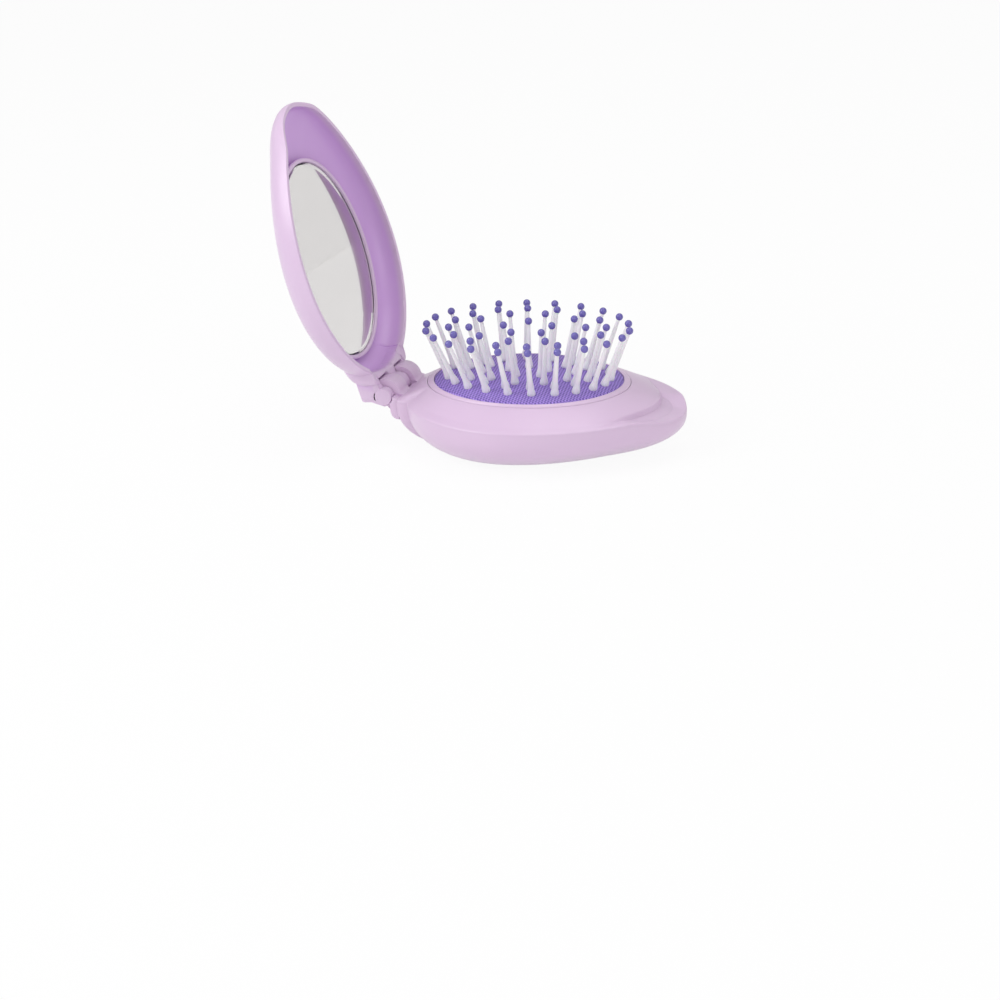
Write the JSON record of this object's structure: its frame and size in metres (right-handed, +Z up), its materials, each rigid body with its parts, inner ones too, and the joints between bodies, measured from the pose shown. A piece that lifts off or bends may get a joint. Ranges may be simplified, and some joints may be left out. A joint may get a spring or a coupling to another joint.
{
  "type": "folding hairbrush with mirror",
  "caption": "Egg-shaped pocket hairbrush: mirror in a hinged lid, ball-tipped bristle pad that rises as the lid opens and sinks as it closes.",
  "frame": {"origin": "on the resting plane, under the lower shell's flat foot, 40 mm from the hinge axis", "axes": "+X from the hinge to the tip, +Y along the hinge pin, +Z up"},
  "size_m": [0.1258, 0.0706, 0.1028],
  "materials": {
    "case_plastic": "satin moulded plastic, pale lilac",
    "frame_plastic": "satin moulded plastic, lilac",
    "plate_plastic": "moulded plastic, violet",
    "pad_rubber": "soft violet pad skin with a fine woven grain",
    "bristle_nylon": "milky nylon",
    "ball_resin": "glossy violet resin",
    "pin_steel": "bright drawn steel",
    "spring_steel": "spring steel",
    "mirror_glass": "clear polished glass",
    "mirror_silver": "silvered back",
    "foam": "white adhesive foam"
  },
  "bodies": {
    "case": {"base_shell": "case_plastic", "deck": "case_plastic", "hinge_pin": "pin_steel", "lift_spring": "spring_steel"},
    "lid": {"lid_shell": "case_plastic", "mirror_frame": "frame_plastic", "mirror_glass": "mirror_glass", "mirror_coating": "mirror_silver", "mirror_foam": "foam"},
    "pad": {"pin_plate": "plate_plastic", "pad_ring": "case_plastic", "cushion": "pad_rubber", "bristles_outer": "bristle_nylon", "bristles_second": "bristle_nylon", "bristles_third": "bristle_nylon", "bristles_inner": "bristle_nylon", "tips_outer": "ball_resin", "tips_second": "ball_resin", "tips_third": "ball_resin", "tips_inner": "ball_resin"}
  },
  "joints": [
    {"name": "lid_hinge", "type": "hinge", "parent": "case", "child": "lid", "pos_m": [-0.04, 0, 0.0154], "axis": [0, 1, 0], "range_deg": [0, 107]},
    {"name": "pad_slide", "type": "slide", "parent": "case", "child": "pad", "axis": [0, 0, -1], "range_m": [0, 0.0156], "deforming": ["lift_spring"]}
  ],
  "couplings": [
    {"joint": "pad_slide", "follows": "lid_hinge", "m_per_rad": 0.0083533}
  ]
}
